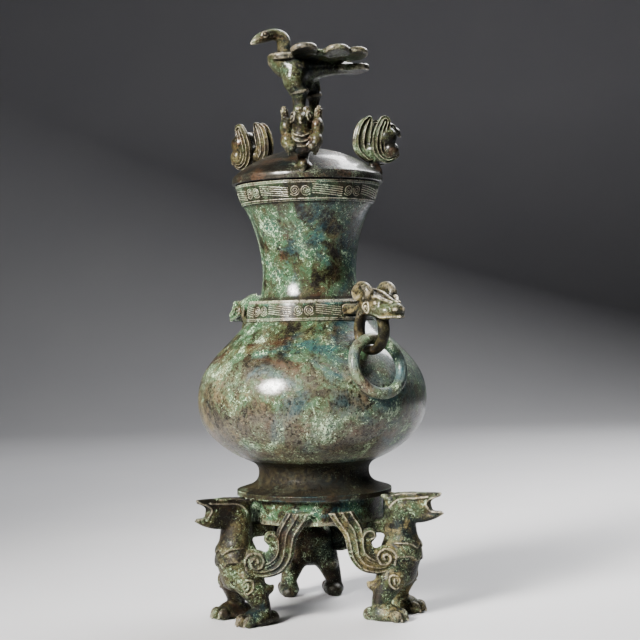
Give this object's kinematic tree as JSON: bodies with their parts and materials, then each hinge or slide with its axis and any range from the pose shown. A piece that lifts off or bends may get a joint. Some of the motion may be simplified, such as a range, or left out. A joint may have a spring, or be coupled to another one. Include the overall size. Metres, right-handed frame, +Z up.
{
  "type": "lidded bronze hu vessel",
  "caption": "Lidded bronze hu wine vessel with pear-shaped belly on winged beast feet, bird figures on the domed lid and beast-head handles that carry loose rings.",
  "frame": {"origin": "on the vessel's axis at the level of the paw soles", "axes": "+Z up along the vessel's axis, +X through one ring handle, -Y through the middle of one beast foot"},
  "size_m": [0.1974, 0.175, 0.4051],
  "materials": {
    "bronze_patina": "dark bronze with green, blue and red-brown patina, semi-gloss where worn"
  },
  "bodies": {
    "vessel": {"vessel_body": "bronze_patina", "stand_ring": "bronze_patina", "handle_1": "bronze_patina", "handle_2": "bronze_patina", "beast_1": "bronze_patina", "beast_1_wing_left": "bronze_patina", "beast_1_wing_right": "bronze_patina", "beast_2": "bronze_patina", "beast_2_wing_left": "bronze_patina", "beast_2_wing_right": "bronze_patina", "beast_3": "bronze_patina", "beast_3_wing_left": "bronze_patina", "beast_3_wing_right": "bronze_patina"},
    "lid": {"lid": "bronze_patina", "lid_bird_1": "bronze_patina", "lid_bird_2": "bronze_patina", "lid_bird_3": "bronze_patina", "crown_bird": "bronze_patina", "crown_wing_left": "bronze_patina", "crown_wing_right": "bronze_patina"},
    "ring_1": {"carry_ring_1": "bronze_patina"},
    "ring_2": {"carry_ring_2": "bronze_patina"}
  },
  "joints": [
    {"name": "lid_lift", "type": "slide", "parent": "vessel", "child": "lid", "axis": [0, 0, 1], "range_m": [0, 0.08]},
    {"name": "ring_1_swing", "type": "hinge", "parent": "vessel", "child": "ring_1", "pos_m": [0.0715, 0, 0.1896], "axis": [0, -1, 0], "range_deg": [0, 80]},
    {"name": "ring_2_swing", "type": "hinge", "parent": "vessel", "child": "ring_2", "pos_m": [-0.0715, 0, 0.1896], "axis": [0, 1, 0], "range_deg": [0, 80]}
  ]
}
